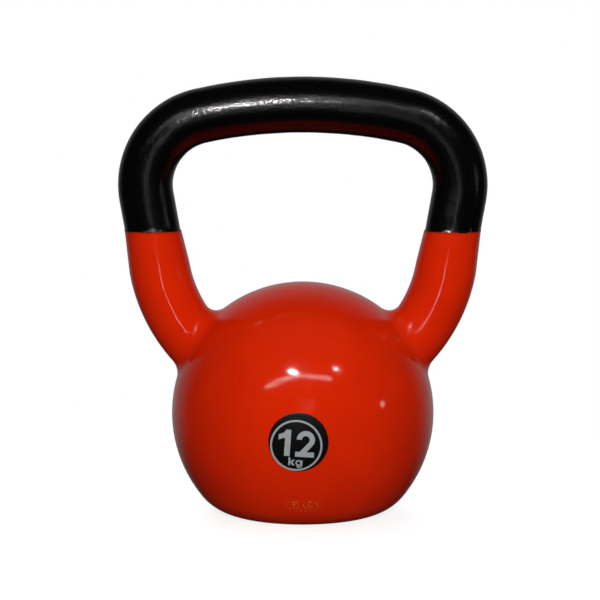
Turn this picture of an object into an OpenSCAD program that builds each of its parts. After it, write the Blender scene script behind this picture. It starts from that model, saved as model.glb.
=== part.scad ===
// Kettlebell with a dipped ball and a coated bar: one iron casting, the two
// finishes on it, and a printed weight label on its front.
//
// The origin is the centre of the base's flat. +Z is up, +X runs along the
// bar, and the label faces -Y. All sizes are over the finishes unless they
// say otherwise.

/* [Ball] */
// Diameter of the ball
ball_d = 142.5; // [118:0.5:190]
// Depth of the cap that the flat base takes off the ball
base_cut = 16.5; // [10:0.5:20]
// Radius of the rounded edge between the flat base and the ball
base_edge_r = 27; // [10:1:30]

/* [Handle] */
// Width over the two corners of the handle
handle_w = 199.5; // [180:0.5:240]
// Clear height between the ball and the bar
hand_gap = 81; // [66:0.5:110]
// Diameter of the bar, the corners and the upper horns
grip_d = 29.6; // [24:0.2:36]
// Centreline radius of the bar's slight crown
crown_r = 255; // [200:5:400]
// Centreline radius of the two corners
corner_r = 38; // [30:1:44]
// Angle between a horn's straight leg and the vertical
leg_slant = 10; // [6:0.5:14]

/* [Horns] */
// Diameter of a horn below its taper
horn_d = 33; // [28:0.2:40]
// Length of leg over which a horn thickens
taper_l = 22; // [10:1:24]
// Centreline radius of the bend that turns a horn into the ball
horn_bend_r = 80; // [60:1:90]
// Angle above the horizontal at which a horn's axis enters the ball
root_angle = 31; // [26:0.5:38]

/* [Finishes] */
// Thickness of the vinyl dip on the ball and the lower horns
vinyl_t = 1; // [0.5:0.1:2]
// Thickness of the textured enamel on the bar and the upper horns
grip_t = 0.8; // [0.4:0.1:1.5]
// Depth of the line between the two finishes below the top of the bar
dip_depth = 82.5; // [70:0.5:95]

/* [Label] */
// Diameter of the label
label_d = 31; // [24:0.5:40]
// Thickness of the label
label_t = 0.2; // [0.1:0.05:0.4]
// Angle that the label's centre lies below the ball's widest line
label_drop = 4; // [0:0.5:12]
// Angle that the label's centre lies left of the front
label_left = 2; // [0:0.5:10]

/* [Print] */
// Thickness of the printed ink
ink_t = 0.1; // [0.05:0.05:0.2]
// Width of the plain border outside the printed ring
ring_border = 2; // [1.9:0.1:3]
// Width of the ring's line
ring_line = 1; // [0.6:0.1:1.6]
// Clear width between the ring and the numerals' corners
print_gap = 1.7; // [1:0.1:3]
// How far the print sits left of the label's centre
print_left = 1; // [0:0.1:1]
// How far the print sits below the label's centre
print_low = 1.5; // [0:0.1:1.5]
// Angle that the print is turned clockwise on the label
print_turn = 4; // [0:0.5:8]
// Stroke of the numerals
digit_line = 2.7; // [1.8:0.1:3.3]
// Stroke of the unit's letters
unit_line = 0.9; // [0.5:0.1:1.1]

/* [Hidden] */
$fn = 144;

// Ball: its centre, and the centre of the arc that rounds the base's edge.
ball_r = ball_d / 2;
ball_z = ball_r - base_cut;
base_flat_r = sqrt((ball_r - base_edge_r) ^ 2 - (ball_z - base_edge_r) ^ 2);
base_edge_turn = atan2(ball_z - base_edge_r, base_flat_r);

// Handle centreline, right half: crown, corner, straight leg, bend, and a
// root that runs straight to the ball's centre.
grip_r = grip_d / 2;
horn_r = horn_d / 2;
bar_z = ball_z + ball_r + hand_gap + grip_r;
crown_z = bar_z - crown_r;
corner_x = handle_w / 2 - grip_r - corner_r;
corner_z = crown_z + sqrt((crown_r - corner_r) ^ 2 - corner_x ^ 2);
crown_half = asin(corner_x / (crown_r - corner_r));

leg_top = [corner_x + corner_r * cos(leg_slant), corner_z - corner_r * sin(leg_slant)];
leg_in = [-cos(leg_slant), sin(leg_slant)];
root_in = [-sin(root_angle), cos(root_angle)];
leg_reach = leg_top + horn_bend_r * (leg_in - root_in) - [0, ball_z];
leg_l = round(1000 * leg_reach * root_in / cos(leg_slant + root_angle)) / 1000;
bend_turn = 90 - leg_slant - root_angle;
root_end = [0, ball_z] + leg_reach - leg_l * [sin(leg_slant), cos(leg_slant)];
root_l = norm(root_end - [0, ball_z]);

// The taper leaves at least a fifth of a short leg straight.
taper = min(taper_l, 0.8 * leg_l);

// How far a core runs on inside the next stretch, and how much thinner it is.
core_lap = 1;
core_step = 0.05;

// Bare iron radii under the finishes.
iron_grip_r = grip_r - grip_t;
iron_horn_r = horn_r - vinyl_t;

// Line between the finishes, and a size larger than the whole object.
dip_z = bar_z + grip_r - dip_depth;
beyond = 2 * (bar_z + handle_w);

// Print: the ring's outer radius, the numerals' height from how far their
// farthest corner may reach, and the unit's height, x-height and letter width.
ring_r = label_d / 2 - ring_border;
digit_reach = 0.777;
digit_h = (ring_r - ring_line - print_gap) / digit_reach;
unit_h = 0.32 * digit_h;
unit_x_h = 0.72 * unit_h;
unit_w = 0.75 * unit_h;

// Numeral two: its bowl, and the angle round the bowl where the diagonal
// leaves. Each stroke starts a little inside the one it leaves.
two_r = 0.34 * digit_h;
two_centre = [0, digit_h - two_r];
two_leave = -40;
print_sink = 0.03;

// A bent stretch of round tube about the origin, level, from one angle on.
module bent_tube(bend_r, tube_r, from, turn) {
    rotate_extrude(angle = turn, start = from)
        translate([bend_r, 0])
            circle(tube_r);
}

// A straight round stretch along -Y from a point on it.
module straight_tube(from, length, r_from, r_to) {
    translate([from.x, from.y, 0])
        rotate([90, 0, 0])
            cylinder(h = length, r1 = r_from, r2 = r_to);
}

// The right-hand corner, leg, bend and root, drawn in the handle's plane with
// the leg straight down from the corner and then leant over. The corner runs
// on into the bar, and the root into the bend, as a slightly thinner core.
// extra is the thickness of finish over the iron.
module horn(extra) {
    grip = iron_grip_r + extra - core_step;
    thick = iron_horn_r + extra;
    straight_l = leg_l - taper;
    lap_turn = core_lap / corner_r * 180 / PI;
    translate([corner_x, 0, corner_z])
        rotate([90, 0, 0])
            rotate(-leg_slant) {
                bent_tube(corner_r, grip, 0, 90 - crown_half + leg_slant + lap_turn);
                straight_tube([corner_r, 0], straight_l, grip, grip);
                straight_tube([corner_r, -straight_l], taper, grip, thick);
                translate([corner_r - horn_bend_r, -leg_l, 0]) {
                    bent_tube(horn_bend_r, thick, -bend_turn, bend_turn);
                    rotate(-bend_turn)
                        straight_tube([horn_bend_r, core_lap], root_l, thick - core_step, thick - core_step);
                }
            }
}

// The whole handle: the crowned bar and a horn at each end.
module handle(extra) {
    translate([0, 0, crown_z])
        rotate([90, 0, 0])
            bent_tube(crown_r, iron_grip_r + extra, 90 - crown_half, 2 * crown_half);
    for (side = [0, 1])
        mirror([side, 0, 0])
            horn(extra);
}

// Half of the ball's outline, inset all round: the round, the arc at the
// base's edge and the fill between them.
module ball_outline(inset) {
    round_r = ball_r - inset;
    edge_r = base_edge_r - inset;
    round_centre = [0, ball_z];
    edge_centre = [base_flat_r, base_edge_r];
    along = [cos(base_edge_turn), -sin(base_edge_turn)];
    contact = round_centre + round_r * along;
    intersection() {
        translate(round_centre)
            circle(round_r);
        polygon([round_centre, contact, contact + round_r * along, [3 * round_r, ball_z],
                 [3 * round_r, 3 * round_r], [0, 3 * round_r]]);
    }
    intersection() {
        translate(edge_centre)
            circle(edge_r);
        polygon([edge_centre, [base_flat_r, -edge_r], [contact.x + edge_r, -edge_r],
                 contact + edge_r * along, contact]);
    }
    polygon([[0, inset], [base_flat_r, inset], edge_centre, contact, round_centre]);
}

// The ball with its flat base, inset all round.
module ball(inset) {
    rotate_extrude()
        ball_outline(inset);
}

// Everything below the line between the finishes.
module below_dip() {
    translate([-beyond / 2, -beyond / 2, dip_z - beyond])
        cube(beyond);
}

module iron_casting() {
    color("dimgray")
        union() {
            ball(vinyl_t);
            handle(0);
        }
}

module vinyl_coat() {
    color([0.83, 0.16, 0.03])
        difference() {
            intersection() {
                union() {
                    ball(0);
                    handle(vinyl_t);
                }
                below_dip();
            }
            ball(vinyl_t);
            handle(0);
        }
}

module grip_coat() {
    color([0.05, 0.05, 0.055])
        difference() {
            handle(grip_t);
            handle(0);
            below_dip();
        }
}

// Wraps a flat outline on the front of the ball, as a layer from one height
// over the dip to another. The outline's +Y points up.
module on_front(low, high) {
    translate([0, 0, ball_z])
        rotate([90 + label_drop, 0, -label_left])
            intersection() {
                linear_extrude(ball_r + high)
                    children();
                rotate([90, 0, 0])
                    difference() {
                        sphere(ball_r + high);
                        sphere(ball_r + low);
                    }
            }
}

// A layer of ink on the label from a flat outline, off centre and turned as
// the whole print is.
module printed() {
    color([0.62, 0.64, 0.65])
        on_front(label_t, label_t + ink_t)
            translate([-print_left, -print_low])
                rotate(-print_turn)
                    children();
}

module weight_label() {
    color([0.02, 0.02, 0.02])
        on_front(0, label_t)
            circle(label_d / 2);
}

// A band between two circles, cut to the wedge from one angle to another
// anticlockwise, up to 180 degrees apart.
module arc_band(outer_r, inner_r, from, to) {
    far = 2 * outer_r;
    middle = (from + to) / 2;
    intersection() {
        difference() {
            circle(outer_r);
            circle(inner_r);
        }
        polygon([[0, 0],
                 far * [cos(from), sin(from)],
                 far * [cos((from + middle) / 2), sin((from + middle) / 2)],
                 far * [cos(middle), sin(middle)],
                 far * [cos((middle + to) / 2), sin((middle + to) / 2)],
                 far * [cos(to), sin(to)]]);
    }
}

// Numeral one: an upright stem and a flag at its top left.
module digit_one() {
    stem = 1.1 * digit_line;
    flag = 1.25 * digit_line;
    polygon([[0, 0], [stem, 0], [stem, digit_h], [0.15 * digit_line, digit_h],
             [-0.2 * digit_line, digit_h - 0.6 * digit_line], [-flag, digit_h - 1.05 * digit_line],
             [-flag, digit_h - 2.05 * digit_line], [0, digit_h - 1.6 * digit_line]]);
}

// Numeral two is an open bowl, and a diagonal that leaves it on a tangent to
// a flat foot. The origin is under the bowl's centre.
module two_bowl() {
    translate(two_centre)
        arc_band(two_r, two_r - digit_line, two_leave, 180);
}

module two_diagonal() {
    edge = [cos(two_leave), sin(two_leave)];
    run = [sin(two_leave), -cos(two_leave)];
    outer = two_centre + (two_r - print_sink) * edge;
    inner = two_centre + (two_r - digit_line + print_sink) * edge;
    within = two_centre + (two_r - digit_line / 2) * [cos(two_leave / 2), sin(two_leave / 2)];
    outer_foot = outer + run * (digit_line / 2 - outer.y) / run.y;
    inner_foot = inner - run * inner.y / run.y;
    polygon([outer, within, inner, inner_foot, [outer_foot.x, 0], outer_foot]);
    translate([inner_foot.x, 0])
        square([two_r - inner_foot.x, digit_line]);
}

// Letter k: a tall stem, an arm and a leg.
module letter_k() {
    thick = 1.3 * unit_line;
    square([unit_line, unit_h]);
    polygon([[unit_line / 2, 0.15 * unit_x_h], [unit_line / 2, 0.15 * unit_x_h + thick],
             [unit_w - thick, unit_x_h], [unit_w, unit_x_h]]);
    polygon([[unit_w - thick, 0], [0.4 * unit_w, 0.45 * unit_x_h], [0.6 * unit_w, 0.6 * unit_x_h],
             [unit_w, 0]]);
}

// Letter g: a round bowl, a stem on its right, and a hook that runs on from
// the stem below the line.
module letter_g() {
    bowl_r = unit_x_h / 2;
    line = 0.8 * unit_line;
    hook_centre = [1.25 * bowl_r, bowl_r - 0.25 * unit_h];
    translate([bowl_r, bowl_r])
        difference() {
            circle(bowl_r);
            circle(bowl_r - line);
        }
    translate([hook_centre.x + bowl_r - line, hook_centre.y])
        square([line, unit_x_h - hook_centre.y]);
    translate(hook_centre)
        arc_band(bowl_r, bowl_r - line, 205, 370);
}

module label_ring() {
    printed()
        difference() {
            circle(ring_r);
            circle(ring_r - ring_line);
        }
}

module label_numerals() {
    foot = -0.41 * digit_h;
    one_x = -0.43 * digit_h;
    two_x = 0.34 * digit_h;
    printed()
        translate([one_x, foot])
            digit_one();
    printed()
        translate([two_x, foot])
            two_bowl();
    printed()
        translate([two_x, foot])
            two_diagonal();
}

module label_unit() {
    foot = -0.41 * digit_h - 1.12 * unit_h;
    printed()
        translate([-0.78 * unit_h, foot])
            letter_k();
    printed()
        translate([-0.78 * unit_h + 1.1 * unit_w, foot])
            letter_g();
}

iron_casting();
vinyl_coat();
grip_coat();
weight_label();
label_ring();
label_numerals();
label_unit();
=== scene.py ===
import math

import bpy
import numpy as np
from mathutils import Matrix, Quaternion, Vector, noise


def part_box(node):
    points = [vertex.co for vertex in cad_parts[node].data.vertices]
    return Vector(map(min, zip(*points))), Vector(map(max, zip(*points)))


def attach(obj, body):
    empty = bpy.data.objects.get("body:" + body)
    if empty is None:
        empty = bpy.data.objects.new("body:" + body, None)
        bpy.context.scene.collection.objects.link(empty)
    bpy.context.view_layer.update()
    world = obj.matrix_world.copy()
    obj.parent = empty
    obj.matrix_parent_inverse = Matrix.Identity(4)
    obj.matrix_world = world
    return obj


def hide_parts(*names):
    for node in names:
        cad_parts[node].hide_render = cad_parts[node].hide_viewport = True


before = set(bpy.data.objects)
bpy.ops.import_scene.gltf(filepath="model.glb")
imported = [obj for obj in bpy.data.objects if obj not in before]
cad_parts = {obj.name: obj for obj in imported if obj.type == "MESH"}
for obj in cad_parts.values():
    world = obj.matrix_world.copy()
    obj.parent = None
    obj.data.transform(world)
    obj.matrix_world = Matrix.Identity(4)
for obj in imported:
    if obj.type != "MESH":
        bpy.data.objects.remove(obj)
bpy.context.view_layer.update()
print("frame loaded")

# places that the frame gives
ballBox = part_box("vinyl_coat")
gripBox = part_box("grip_coat")
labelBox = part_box("weight_label")
ballR = ballBox[1].y
dipZ = ballBox[1].z
topZ = gripBox[1].z
halfWidth = gripBox[1].x

view = {
    "place": (-0.0015, -1.2085, 0.24635),
    "pitch": 6.15,  # degrees below level
    "lens": 134.4,
    "sensor": 36,
}


def makeCamera():
    bpy.ops.object.camera_add(location=view["place"], rotation=(math.radians(90 - view["pitch"]), 0, 0))
    camera = bpy.context.object
    camera.name = "camera"
    camera.data.lens = view["lens"]
    camera.data.sensor_width = view["sensor"]
    bpy.context.scene.camera = camera


makeCamera()


# shader maths: a wire carries one socket, and sums and products of wires add their nodes
class Wire:
    def __init__(self, finish, socket):
        self.finish = finish
        self.socket = socket

    def sum(self, operation, first, second=0.0):
        return self.finish.sum(operation, first, second)

    def __add__(self, other):
        return self.sum("ADD", self, other)

    def __radd__(self, other):
        return self.sum("ADD", other, self)

    def __sub__(self, other):
        return self.sum("SUBTRACT", self, other)

    def __rsub__(self, other):
        return self.sum("SUBTRACT", other, self)

    def __mul__(self, other):
        return self.sum("MULTIPLY", self, other)

    def __rmul__(self, other):
        return self.sum("MULTIPLY", other, self)

    def fade(self, start, end):  # 0 at start, 1 at end, smooth between
        settings = {"interpolation_type": "SMOOTHSTEP"}
        return self.finish.node("ShaderNodeMapRange", settings, {"Value": self, 1: start, 2: end})


class Finish:
    def __init__(self, name, owner=None):
        self.owner = owner or bpy.data.materials.new(name)
        self.owner.use_nodes = True
        self.tree = self.owner.node_tree
        self.tree.nodes.clear()

    def node(self, kind, settings=None, inputs=None, output=0):
        made = self.tree.nodes.new(kind)
        for key, value in (settings or {}).items():
            setattr(made, key, value)
        for key, value in (inputs or {}).items():
            if isinstance(value, Wire):
                self.tree.links.new(value.socket, made.inputs[key])
            else:
                made.inputs[key].default_value = value
        return Wire(self, made.outputs[output]) if len(made.outputs) else made

    def sum(self, operation, first, second=0.0):
        return self.node("ShaderNodeMath", {"operation": operation}, {0: first, 1: second})

    def place(self):
        return self.node("ShaderNodeTexCoord", output="Object")

    def axes(self):
        parts = self.node("ShaderNodeSeparateXYZ", inputs={0: self.place()})
        return [Wire(self, socket) for socket in parts.socket.node.outputs]

    def grain(self, size, detail=2, stretch=(1, 1, 1), roughness=0.5):  # size in metres
        spot = self.node("ShaderNodeMapping", inputs={"Vector": self.place(), "Scale": stretch})
        inputs = {"Vector": spot, "Scale": 1 / size, "Detail": detail, "Roughness": roughness}
        return self.node("ShaderNodeTexNoise", inputs=inputs)

    def dots(self, spacing):
        inputs = {"Vector": self.place(), "Scale": 1 / spacing}
        return self.node("ShaderNodeTexVoronoi", inputs=inputs)

    def blend(self, share, first, second):
        inputs = {"Factor": share, 6: first, 7: second}
        return self.node("ShaderNodeMix", {"data_type": "RGBA"}, inputs, output=2)

    def relief(self, height, depth, under=None):  # depth in metres of a height from 0 to 1
        inputs = {"Height": height, "Strength": 1.0, "Distance": depth}
        if under:
            inputs["Normal"] = under
        return self.node("ShaderNodeBump", inputs=inputs)

    def surface(self, inputs):
        shader = self.node("ShaderNodeBsdfPrincipled", inputs=inputs)
        self.node("ShaderNodeOutputMaterial", inputs={"Surface": shader})
        return self.owner


vinylFinish = {
    "colour": (0.76, 0.0215, 0.0006, 1),
    "deep": (0.72, 0.0185, 0.0006, 1),
    # painted contact shade for the thin band just under the enamel's edge
    "underEnamelShade": (0.30, 0.020, 0.004, 1),
    "scuff": (0.72, 0.26, 0.03, 1),
    "scuffPlace": (0.0, -0.0585, 0.0145),
    "scuffReach": (0.0115, 0.02, 0.0042),
}


def makeVinyl():
    vinyl = Finish("redVinyl")
    x, y, z = vinyl.axes()
    cloud = vinyl.grain(0.03, 3)
    colour = vinyl.blend(cloud.fade(0.35, 0.7), vinylFinish["colour"], vinylFinish["deep"])
    # the skin is thin and dark where it runs out under the enamel
    # painted shade: the vinyl is darkened in a thin band just under the enamel's edge, where the two coats
    # meet
    edge = z.fade(dipZ - 0.0016, dipZ - 0.0002) * 0.8
    colour = vinyl.blend(edge, colour, vinylFinish["underEnamelShade"])
    # a rubbed patch low on the front, with grit in it
    near = 1.0
    for axis, place, reach in zip((x, y, z), vinylFinish["scuffPlace"], vinylFinish["scuffReach"]):
        away = (axis - place) * (1 / reach)
        near = near * (1 - away * away).fade(0, 0.9)
    grit = vinyl.grain(0.0011, 2, roughness=0.7).fade(0.56, 0.64)
    rubbed = near * grit
    colour = vinyl.blend(rubbed * 0.8, colour, vinylFinish["scuff"])
    smear = vinyl.grain(0.006, 4, roughness=0.6)
    roughness = 0.10 + smear.fade(0.5, 0.9) * 0.12 + rubbed * 0.4
    # slow waves of the dip, then a few nibs of dust under the gloss
    waves = vinyl.relief(vinyl.grain(0.022, 1), 0.0005)
    peel = vinyl.relief(vinyl.grain(0.0022, 2), 0.000012, waves)
    nib = 1 - vinyl.dots(0.013).fade(0.02, 0.045)
    normal = vinyl.relief(nib, 0.00012, peel)
    normal = vinyl.relief(rubbed, 0.0001, normal)
    inputs = {"Base Color": colour, "Roughness": roughness, "Normal": normal, "IOR": 1.5}
    return vinyl.surface(inputs)


enamelFinish = {
    "colour": (0.0008, 0.0008, 0.0009, 1),
    "worn": (0.002, 0.002, 0.0022, 1),
    "grit": 0.0014,  # size of the grit
    "fine": 0.00017,  # height of the grit
    "gloss": 0.22,  # roughness between the grains
}


def makeEnamel():
    enamel = Finish("blackEnamel")
    fine = enamel.grain(enamelFinish["grit"], 2, roughness=0.6)
    drag = enamel.grain(0.003, 2, (1, 1, 0.35))
    colour = enamel.blend(fine.fade(0.45, 0.8), enamelFinish["colour"], enamelFinish["worn"])
    broad = enamel.relief(drag, 0.00010)
    normal = enamel.relief(fine, enamelFinish["fine"], broad)
    roughness = enamelFinish["gloss"] - fine.fade(0.5, 0.75) * 0.16
    inputs = {"Base Color": colour, "Roughness": roughness, "Normal": normal, "IOR": 1.5}
    return enamel.surface(inputs)


def makeIron():
    iron = Finish("castIron")
    sand = iron.grain(0.0012, 4, roughness=0.7)
    colour = iron.blend(sand.fade(0.3, 0.8), (0.11, 0.11, 0.115, 1), (0.2, 0.19, 0.185, 1))
    inputs = {"Base Color": colour, "Metallic": 1.0, "Normal": iron.relief(sand, 0.0003)}
    inputs["Roughness"] = 0.55 + sand * 0.2
    return iron.surface(inputs)


def makeFilm():
    film = Finish("labelFilm")
    dust = film.grain(0.0008, 3, roughness=0.7)
    colour = film.blend(dust.fade(0.62, 0.8), (0.0025, 0.0025, 0.0028, 1), (0.02, 0.02, 0.02, 1))
    normal = film.relief(film.grain(0.004, 2), 0.00004)
    inputs = {"Base Color": colour, "Roughness": 0.32 + dust * 0.15, "Normal": normal}
    return film.surface(inputs)


# pale cut edge of the film: partly its pale core, partly a painted highlight standing in for the glint the
# edge catches
def makeFilmEdgeAndGlint():
    edgeAndGlint = Finish("labelEdgeAndGlint")
    fibre = edgeAndGlint.grain(0.0005, 3)
    colour = edgeAndGlint.blend(fibre.fade(0.3, 0.8), (0.30, 0.27, 0.27, 1), (0.18, 0.15, 0.15, 1))
    return edgeAndGlint.surface({"Base Color": colour, "Roughness": 0.6})


def makeInk():
    ink = Finish("paleInk")
    screen = ink.grain(0.0007, 2, roughness=0.6)
    colour = ink.blend(screen.fade(0.3, 0.75), (0.37, 0.39, 0.40, 1), (0.33, 0.35, 0.36, 1))
    inputs = {"Base Color": colour, "Roughness": 0.45, "Normal": ink.relief(screen, 0.00002)}
    return ink.surface(inputs)


# small helpers for the modelling
def onlyThis(piece):
    if bpy.context.object and bpy.context.object.mode != "OBJECT":
        bpy.ops.object.mode_set(mode="OBJECT")
    bpy.ops.object.select_all(action="DESELECT")
    piece.select_set(True)
    bpy.context.view_layer.objects.active = piece


def applyModifier(piece, kind, **settings):
    onlyThis(piece)
    modifier = piece.modifiers.new(kind.title(), kind)
    for key, value in settings.items():
        setattr(modifier, key, value)
    bpy.ops.object.modifier_apply(modifier=modifier.name)


def settlePlace(piece):
    onlyThis(piece)
    bpy.ops.object.transform_apply(location=True, rotation=True, scale=True)


def points(piece):
    flat = np.empty(len(piece.data.vertices) * 3)
    piece.data.vertices.foreach_get("co", flat)
    return flat.reshape(-1, 3)


def movePoints(piece, places):
    piece.data.vertices.foreach_set("co", places.ravel())
    piece.data.update()


def dress(piece, materials, slotName, *nodes):
    piece.data.materials.clear()
    for material in materials:
        piece.data.materials.append(material)
    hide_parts(*nodes)
    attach(piece, "root")


# the handle's centreline, right half: crown, corner, leg, bend and root
handle = {
    "gripR": 0.0148,
    "coatStep": 0.0002,  # the vinyl stands this far proud of the enamel
    "barSwell": 0.00025,  # the bar is a little fuller in the middle
    "hornR": 0.0165,
    "crownR": 0.255,
    "cornerR": 0.038,
    "legSlant": math.radians(10),
    "taper": 0.022,
    "bendR": 0.080,
    "rootAngle": math.radians(31),
    "rootRun": 0.03,  # how far the horn goes on into the ball
    "legRun": 0.034,  # how far the sleeve is drawn down the leg before it is cut
    "step": 0.0016,  # spacing of the rings along it
}
ball = {
    "centreZ": ballR - 0.0165,
    "edgeR": 0.027,
}


def planHandle():
    slant, root = handle["legSlant"], handle["rootAngle"]
    barZ = topZ - handle["gripR"]
    cornerX = halfWidth - handle["gripR"] - handle["cornerR"]
    crownZ = barZ - handle["crownR"]
    inner = handle["crownR"] - handle["cornerR"]
    corner = Vector((cornerX, 0, crownZ + math.sqrt(inner**2 - cornerX**2)))
    legDown = Vector((-math.sin(slant), 0, -math.cos(slant)))
    legIn = Vector((-math.cos(slant), 0, math.sin(slant)))
    rootIn = Vector((-math.sin(root), 0, math.cos(root)))
    legTop = corner - legIn * handle["cornerR"]
    reach = legTop + handle["bendR"] * (legIn - rootIn) - Vector((0, 0, ball["centreZ"]))
    legLength = reach.dot(rootIn) / math.cos(slant + root)
    legEnd = legTop + legDown * legLength
    bend = legEnd + legIn * handle["bendR"]
    rootTop = bend - rootIn * handle["bendR"]
    return {
        "barZ": barZ,
        "crown": Vector((0, 0, crownZ)),
        "crownTurn": math.asin(cornerX / inner),
        "corner": corner,
        "cornerTurn": math.pi / 2 + slant - math.asin(cornerX / inner),
        "legTop": legTop,
        "legDown": legDown,
        "legLength": legLength,
        "bend": bend,
        "bendTurn": math.pi / 2 - slant - root,
        "rootTop": rootTop,
        "rootDown": Vector((-math.cos(root), 0, -math.sin(root))),
    }


plan = planHandle()


def turnRing(centre, angle, bendR):
    steps = max(4, round(angle * bendR / handle["step"]))
    bpy.ops.mesh.spin(steps=steps, angle=-angle, center=centre, axis=(0, 1, 0))


def runRing(start, direction, length, growth=1.0):
    steps = max(2, round(length / handle["step"]))
    for i in range(steps):
        move = direction * (length / steps)
        bpy.ops.mesh.extrude_region_move(TRANSFORM_OT_translate={"value": move})
        scale = (1 + (growth - 1) * (i + 1) / steps) / (1 + (growth - 1) * i / steps)
        centre = start + direction * (length * (i + 1) / steps)
        bpy.ops.transform.resize(value=(scale, scale, scale), center_override=centre)


def horn(radius, endR):
    # from the top of the leg down into the ball, closed at both ends
    turn = math.pi - handle["legSlant"]
    bpy.ops.mesh.primitive_circle_add(
        vertices=72, radius=radius, fill_type="NGON", location=plan["legTop"], rotation=(0, -turn, 0)
    )
    piece = bpy.context.object
    bpy.ops.object.mode_set(mode="EDIT")
    straight = plan["legLength"] - handle["taper"]
    runRing(plan["legTop"], plan["legDown"], straight)
    taperTop = plan["legTop"] + plan["legDown"] * straight
    runRing(taperTop, plan["legDown"], handle["taper"], endR / radius)
    turnRing(plan["bend"], plan["bendTurn"], handle["bendR"])
    runRing(plan["rootTop"], plan["rootDown"], handle["rootRun"])
    bpy.ops.mesh.select_all(action="SELECT")
    bpy.ops.mesh.normals_make_consistent(inside=False)
    bpy.ops.object.mode_set(mode="OBJECT")
    settlePlace(piece)
    return piece


def centreline():
    # points along the right half with the vinyl's radius at each
    line = []
    slack = 0.00025
    steps = int(plan["legLength"] / slack)
    straight = plan["legLength"] - handle["taper"]
    for i in range(-40, steps + 1):
        run = plan["legLength"] * i / steps
        thick = min(1, max(0, (run - straight) / handle["taper"]))
        topR = handle["gripR"] + handle["coatStep"]
        line.append((*(plan["legTop"] + plan["legDown"] * run), topR + (handle["hornR"] - topR) * thick))
    steps = int(plan["bendTurn"] * handle["bendR"] / slack)
    for i in range(1, steps + 1):
        turn = handle["legSlant"] + plan["bendTurn"] * i / steps
        out = Vector((math.cos(turn), 0, -math.sin(turn)))
        line.append((*(plan["bend"] + out * handle["bendR"]), handle["hornR"]))
    for i in range(1, 160):
        line.append((*(plan["rootTop"] + plan["rootDown"] * (i * slack)), handle["hornR"]))
    return np.array(line)


hornLine = centreline()


def hornDistance(places):
    near = np.abs(places[:, 0])
    best = np.full(len(places), 1e9)
    for start in range(0, len(places), 4000):
        part = slice(start, start + 4000)
        across = near[part, None] - hornLine[None, :, 0]
        height = places[part, 2, None] - hornLine[None, :, 2]
        away = np.sqrt(across**2 + height**2 + places[part, 1, None] ** 2)
        best[part] = (away - hornLine[None, :, 3]).min(axis=1)
    return best


def ballDistance(places):
    centreZ, edgeR = ball["centreZ"], ball["edgeR"]
    flatR = math.sqrt((ballR - edgeR) ** 2 - (centreZ - edgeR) ** 2)
    out = np.hypot(places[:, 0], places[:, 1])
    high = places[:, 2] - centreZ
    away = np.hypot(out, high)
    sphere = away - ballR
    arc = np.hypot(np.maximum(out - flatR, 0), places[:, 2] - edgeR) - edgeR
    low = high * flatR < -(centreZ - edgeR) * out
    return np.where(low, arc, sphere)


fillet = {"inside": 0.0075, "outside": 0.0045}


def skinHeight(places):
    # height over the vinyl's surface, with the ball and the horns run together
    horns, body = hornDistance(places), ballDistance(places)
    rootIn = Vector((-math.sin(handle["rootAngle"]), 0, math.cos(handle["rootAngle"])))
    side = np.abs(places[:, 0]) * rootIn.x + (places[:, 2] - ball["centreZ"]) * rootIn.z
    share = np.clip(0.5 + side / (2 * handle["hornR"]), 0, 1)
    radius = fillet["outside"] + (fillet["inside"] - fillet["outside"]) * share
    corner = np.hypot(np.maximum(radius - horns, 0), np.maximum(radius - body, 0))
    return np.maximum(radius, np.minimum(horns, body)) - corner


def settleOnSkin(piece, rounds):
    places = points(piece)
    small = 0.00002
    for i in range(rounds):
        here = skinHeight(places)
        slope = np.stack([skinHeight(places + small * np.eye(3)[a]) - here for a in range(3)], axis=1) / small
        places = places - slope * (here / np.maximum((slope**2).sum(axis=1), 0.2))[:, None]
    movePoints(piece, places)


vinylSkin = {"voxel": 0.0017, "wall": 0.001, "topUnder": 0.0001}


def makeSkin(material):
    hornPiece = horn(handle["gripR"] + handle["coatStep"], handle["hornR"])
    applyModifier(hornPiece, "MIRROR", use_axis=(True, False, False), use_mirror_merge=False)
    bpy.ops.mesh.primitive_uv_sphere_add(
        segments=96, ring_count=64, radius=ballR, location=(0, 0, ball["centreZ"])
    )
    skin = bpy.context.object
    settlePlace(skin)
    bpy.ops.object.mode_set(mode="EDIT")
    bpy.ops.mesh.select_all(action="SELECT")
    bpy.ops.mesh.bisect(
        plane_co=(0, 0, 0), plane_no=(0, 0, 1), use_fill=True, clear_inner=True, clear_outer=False
    )
    bpy.ops.object.mode_set(mode="OBJECT")
    onlyThis(skin)
    hornPiece.select_set(True)
    bpy.ops.object.join()
    skin.name = "vinylSkin"
    applyModifier(skin, "REMESH", mode="VOXEL", voxel_size=vinylSkin["voxel"], use_smooth_shade=True)
    for rounds in (3, 2, 2):
        settleOnSkin(skin, rounds)
        onlyThis(skin)
        bpy.ops.object.mode_set(mode="EDIT")
        bpy.ops.mesh.select_all(action="SELECT")
        bpy.ops.mesh.vertices_smooth(factor=0.5, repeat=2)
        bpy.ops.object.mode_set(mode="OBJECT")
    settleOnSkin(skin, 3)
    onlyThis(skin)
    bpy.ops.object.mode_set(mode="EDIT")
    bpy.ops.mesh.select_all(action="SELECT")
    bpy.ops.mesh.bisect(
        plane_co=(0, 0, dipZ - vinylSkin["topUnder"]), plane_no=(0, 0, 1), clear_outer=True
    )
    bpy.ops.object.mode_set(mode="OBJECT")
    applyModifier(skin, "SOLIDIFY", thickness=vinylSkin["wall"], offset=-1)
    onlyThis(skin)
    bpy.ops.object.shade_smooth_by_angle(angle=math.radians(50))
    dress(skin, [material], "vinyl", "vinyl_coat")
    print("vinyl skin made:", len(skin.data.polygons), "faces")


sleeve = {
    "around": 128,
    "wall": 0.0008,
    "skirt": 0.0010,  # height of the flared lower edge
    "under": 0.0002,  # how far it comes down over the vinyl
    "proud": 0.00010,
    "ragged": 0.00035,
    "lumps": 0.00012,
}


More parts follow.
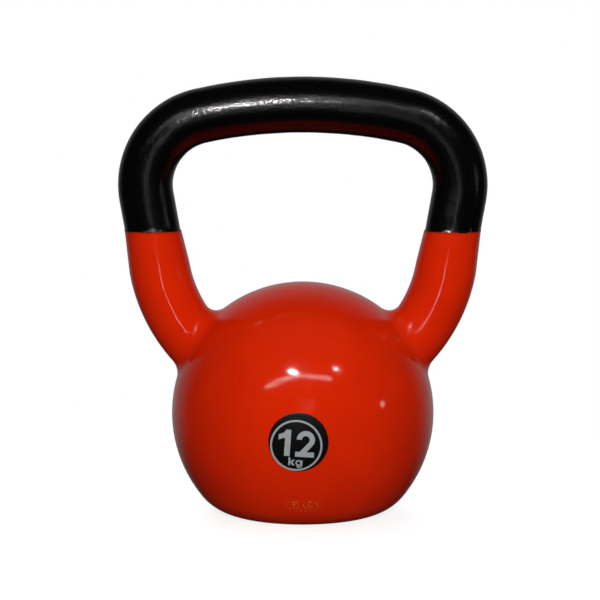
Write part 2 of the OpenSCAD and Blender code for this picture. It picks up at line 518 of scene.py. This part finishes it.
def fromLeg(places):
    # the leg's axis at each point, and the way out from it
    sign = np.where(places[:, 0] < 0, -1, 1)
    top, down = np.array(plan["legTop"]), np.array(plan["legDown"])
    local = places * np.stack([sign, np.ones(len(sign)), np.ones(len(sign))], axis=1)
    run = (local - top) @ down
    axis = top + run[:, None] * down
    out = local - axis
    return sign, axis, out


def makeSleeve(material):
    bpy.ops.mesh.primitive_circle_add(
        vertices=sleeve["around"], radius=handle["gripR"], location=(0, 0, plan["barZ"]),
        rotation=(0, math.pi / 2, 0),
    )
    piece = bpy.context.object
    piece.name = "gripSleeve"
    settlePlace(piece)
    bpy.ops.object.mode_set(mode="EDIT")
    bpy.ops.mesh.select_all(action="SELECT")
    turnRing(plan["crown"], plan["crownTurn"], handle["crownR"])
    turnRing(plan["corner"], plan["cornerTurn"], handle["cornerR"])
    runRing(plan["legTop"], plan["legDown"], handle["legRun"])
    bpy.ops.mesh.select_all(action="SELECT")
    cut = dipZ - sleeve["under"]
    bpy.ops.mesh.bisect(plane_co=(0, 0, cut), plane_no=(0, 0, 1), clear_inner=True)
    for share in (0.35, 0.7, 1):
        bpy.ops.mesh.select_all(action="SELECT")
        bpy.ops.mesh.bisect(plane_co=(0, 0, cut + sleeve["skirt"] * share), plane_no=(0, 0, 1))
    bpy.ops.object.mode_set(mode="OBJECT")
    applyModifier(piece, "MIRROR", use_axis=(True, False, False), merge_threshold=0.00002)
    onlyThis(piece)
    bpy.ops.object.mode_set(mode="EDIT")
    bpy.ops.mesh.select_all(action="SELECT")
    bpy.ops.mesh.normals_make_consistent(inside=False)
    bpy.ops.object.mode_set(mode="OBJECT")
    flareSkirt(piece)
    swellBar(piece)
    wall = piece.vertex_groups.new(name="wall")
    thick = [v.index for v in piece.data.vertices if v.co.z > cut + sleeve["skirt"] * 0.9]
    wall.add(thick, 1.0, "REPLACE")
    applyModifier(
        piece, "SOLIDIFY", thickness=sleeve["wall"], offset=-1, vertex_group="wall",
        thickness_vertex_group=0.08,
    )
    onlyThis(piece)
    bpy.ops.object.shade_smooth_by_angle(angle=math.radians(50))
    dress(piece, [material], "grip_enamel", "grip_coat")
    print("grip sleeve made:", len(piece.data.polygons), "faces")


def flareSkirt(piece):
    places = points(piece)
    sign, axis, out = fromLeg(places)
    low = places[:, 2] < dipZ + 0.01
    top = dipZ - sleeve["under"] + sleeve["skirt"]
    share = np.clip((top - places[:, 2]) / sleeve["skirt"], 0, 1)
    length = np.linalg.norm(out, axis=1)
    wanted = handle["gripR"] + (handle["coatStep"] + sleeve["proud"]) * share * (2 - share)
    moved = axis + out * (wanted / np.maximum(length, 1e-9))[:, None]
    moved[:, 0] *= sign
    places[low] = moved[low]
    for i in np.nonzero(low & (share > 0))[0]:
        spot = Vector(places[i] * (1, 1, 0))
        wave = noise.noise(spot * 260) * 0.8 + noise.noise(spot * 700) * 0.5
        droop = max(0, noise.noise(spot * 110 + Vector((5, 2, 0))) - 0.25) * 3.0
        places[i, 2] += (wave * sleeve["ragged"] - droop * 0.0006) * share[i]
    movePoints(piece, places)


def swellBar(piece):
    places = points(piece)
    centre = np.array(plan["crown"])
    across = places - centre
    across[:, 1] = 0
    reach = np.linalg.norm(across, axis=1)
    axis = centre + across * (handle["crownR"] / reach)[:, None]
    out = places - axis
    share = np.clip(1.2 - np.abs(places[:, 0]) / 0.05, 0, 1)
    share[places[:, 2] < plan["corner"].z] = 0
    grow = 1 + share * share * (3 - 2 * share) * handle["barSwell"] / handle["gripR"]
    places = axis + out * grow[:, None]
    for i, place in enumerate(places):
        if place[2] > dipZ + 0.002:
            lump = noise.noise(Vector(place) * 120) * 0.6 + noise.noise(Vector(place) * 330) * 0.4
            places[i] += out[i] * (lump * sleeve["lumps"] / handle["gripR"])
    movePoints(piece, places)


label = {
    "thick": 0.0002,
    "rings": 10,
    "around": 96,
    "egg": 0.012,  # how far it is out of round
    "eggTurn": 0.9,  # where round the rim it is fullest, in radians
    "edge": 0.00006,  # bevel of the cut edge
}


def makeLabel(film, edge):
    centre = Vector((0, 0, ball["centreZ"]))
    middle = (labelBox[0] + labelBox[1]) / 2
    facing = (middle - centre).normalized()
    radius = (labelBox[1].x - labelBox[0].x) / 2
    bpy.ops.mesh.primitive_circle_add(vertices=label["around"], radius=radius, fill_type="NGON")
    piece = bpy.context.object
    piece.name = "weightLabel"
    bpy.ops.object.mode_set(mode="EDIT")
    bpy.ops.mesh.select_all(action="SELECT")
    for i in range(label["rings"] - 1):
        bpy.ops.mesh.inset(thickness=radius / label["rings"])
    bpy.ops.mesh.poke()
    bpy.ops.object.mode_set(mode="OBJECT")
    places = points(piece)
    across = Vector((0, 0, 1)).cross(facing).normalized()
    upward = facing.cross(across)
    flat = np.hypot(places[:, 0], places[:, 1])
    turn = np.arctan2(places[:, 1], places[:, 0])
    spread = np.arcsin(np.clip(flat * (1 + label["egg"] * np.cos(turn - label["eggTurn"])) / ballR, 0, 1))
    around = np.cos(turn)[:, None] * np.array(across) + np.sin(turn)[:, None] * np.array(upward)
    out = np.cos(spread)[:, None] * np.array(facing) + np.sin(spread)[:, None] * around
    movePoints(piece, np.array(centre) + out * ballR)
    onlyThis(piece)
    bpy.ops.object.mode_set(mode="EDIT")
    bpy.ops.mesh.select_all(action="SELECT")
    bpy.ops.mesh.normals_make_consistent(inside=False)
    bpy.ops.object.mode_set(mode="OBJECT")
    if piece.data.polygons[0].normal.dot(facing) < 0:
        piece.data.flip_normals()
    applyModifier(piece, "SOLIDIFY", thickness=label["thick"], offset=1, material_offset_rim=1)
    piece.data.materials.append(film)
    piece.data.materials.append(edge)
    applyModifier(
        piece, "BEVEL", width=label["edge"], segments=2, limit_method="ANGLE", angle_limit=math.radians(60)
    )
    onlyThis(piece)
    bpy.ops.object.shade_smooth_by_angle(angle=math.radians(40))
    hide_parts("weight_label")
    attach(piece, "root")
    print("label made:", len(piece.data.polygons), "faces")


def paintNode(name, material):
    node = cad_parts[name]
    node.data.materials.clear()
    node.data.materials.append(material)


makeSkin(makeVinyl())
makeSleeve(makeEnamel())
makeLabel(makeFilm(), makeFilmEdgeAndGlint())
paintNode("iron_casting", makeIron())
ink = makeInk()
for name in ("label_ring", "label_numerals", "label_unit"):
    paintNode(name, ink)
print("finishes on")

studio = {
    "background": 1.0,
    "dark": 0.11,  # light of the room all round
    "bright": 0.30,  # what the gloss sees behind the object
    "glow": 0.80,  # keeps the floor pale away from the lamps
    "floorR": 0.6,
    "floorFade": (0.09, 0.34),  # where the floor runs out into the white room
}


def makeFloor():
    bpy.ops.mesh.primitive_circle_add(vertices=96, radius=studio["floorR"], fill_type="NGON")
    floor = bpy.context.object
    floor.name = "floor"
    sheet = Finish("paleFloor")
    x, y, z = sheet.axes()
    across = sheet.sum("SQRT", x * x + y * y)
    shown = 1 - across.fade(*studio["floorFade"])
    inputs = {"Base Color": (0.5, 0.5, 0.5, 1), "Roughness": 0.9, "Alpha": shown}
    inputs["Emission Color"] = (1, 1, 1, 1)
    inputs["Emission Strength"] = studio["glow"]
    floor.data.materials.append(sheet.surface(inputs))
    floor.visible_glossy = False
    floor.visible_diffuse = False


def makeRoom():
    world = bpy.data.worlds.new("room")
    bpy.context.scene.world = world
    room = Finish("room", world)
    way = room.node("ShaderNodeTexCoord", output="Generated")
    parts = room.node("ShaderNodeSeparateXYZ", inputs={0: way})
    behind = Wire(room, parts.socket.node.outputs[1]).fade(0.35, 1.0)
    above = Wire(room, parts.socket.node.outputs[2]).fade(-0.45, -0.1)
    gloss = room.node("ShaderNodeLightPath", output="Is Glossy Ray")
    level = studio["dark"] + gloss * (behind * above * studio["bright"] - studio["dark"] * 0.9)
    seen = room.node("ShaderNodeLightPath", output="Is Camera Ray")
    level = level + seen * (studio["background"] - level)
    shade = room.node("ShaderNodeBackground", inputs={"Color": (1, 1, 1, 1), "Strength": level})
    room.node("ShaderNodeOutputWorld", inputs={"Surface": shade})


lamps = {
    # name: place, aimed at, size across and high, roll in degrees, power, shown in gloss, lights surfaces
    "key": ((0.06, -1.6, 0.50), (0, 0, 0.07), (0.35, 0.35), 0, 18.5, False, True),
    "above": ((0, -0.1, 1.6), (0, 0, 0), (1.6, 1.6), 0, 5, False, True),
    "fill": ((-0.3, 1.5, 0.7), (0, 0, 0.08), (1.2, 1.0), 0, 14, False, True),
    "strip": ((-0.045, -0.30, 0.307), (0, 0, 0.16), (0.045, 0.004), 0, 0.6, True, False),
    "flash": ((-0.03, -1.22, 0.11), (0, 0, 0.12), (0.010, 0.17), 0, 0.16, True, False),
    "armLeft": ((-0.31, -0.87, 0.665), (0, -0.05, 0.075), (0.56, 0.007), 22, 0.55, True, False),
    "armRight": ((0.19, -0.87, 0.74), (0, -0.05, 0.075), (0.51, 0.007), -9, 0.45, True, False),
    "bulb": ((0.47, -0.62, 0.76), (0.018, -0.06, 0.087), (0.040, 0.018), 0, 0.40, True, False),
    "window": ((0.95, -0.31, 0.20), (0.04, -0.056, 0.068), (0.016, 0.06), 0, 0.10, True, False),
}


def makeLamps():
    for name, (place, aim, size, roll, power, inGloss, onSurface) in lamps.items():
        bpy.ops.object.light_add(type="AREA", location=place)
        lamp = bpy.context.object
        lamp.name = name
        lamp.data.shape = "RECTANGLE"
        lamp.data.size, lamp.data.size_y = size
        lamp.data.energy = power
        lamp.rotation_mode = "QUATERNION"
        facing = (Vector(aim) - Vector(place)).to_track_quat("-Z", "Y")
        lamp.rotation_quaternion = facing @ Quaternion((0, 0, 1), math.radians(roll))
        lamp.visible_camera = False
        lamp.visible_glossy = inGloss
        lamp.visible_diffuse = onSurface


makeFloor()
makeRoom()
makeLamps()
bpy.context.scene.view_settings.view_transform = "Standard"
print("studio set")
